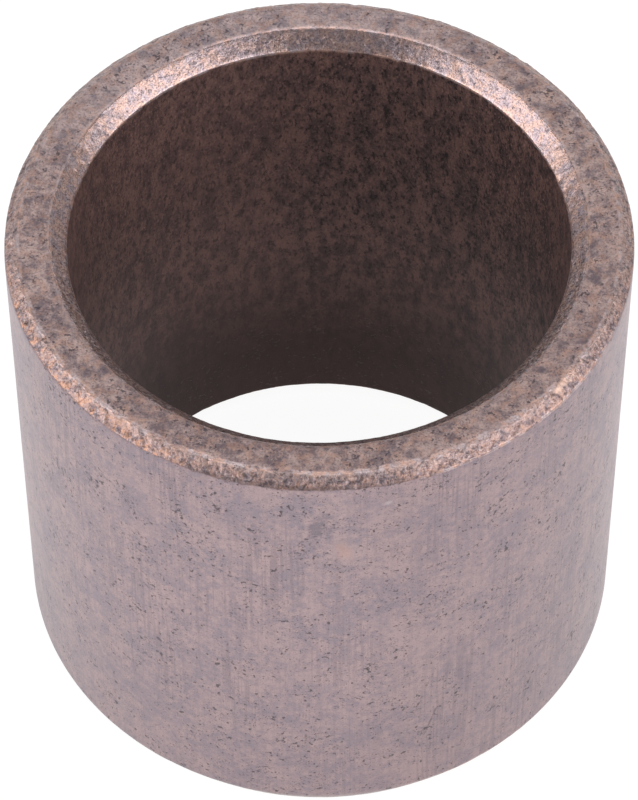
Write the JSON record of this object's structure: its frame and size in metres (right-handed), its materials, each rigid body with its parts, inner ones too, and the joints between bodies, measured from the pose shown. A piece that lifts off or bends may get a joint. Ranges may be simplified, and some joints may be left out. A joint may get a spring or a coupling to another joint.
{
  "type": "plain sleeve bushing",
  "caption": "Plain cylindrical sleeve bushing in sintered bronze: a short tube with a bevelled bore, a small outer chamfer at one end and a long press-fit lead-in at the other.",
  "frame": {"origin": "centre of the lower end face, the end with the press-fit lead-in, on which the bushing stands", "axes": "+Z along the bore axis, from the lead-in end towards the end with the small outer chamfer"},
  "size_m": [0.025, 0.025, 0.024],
  "materials": {
    "bronze": "satin sintered bronze, porous and oil-stained: sized smooth wall, granular bevels, dark bore"
  },
  "bodies": {
    "root": {"sleeve": "bronze"}
  },
  "joints": []
}
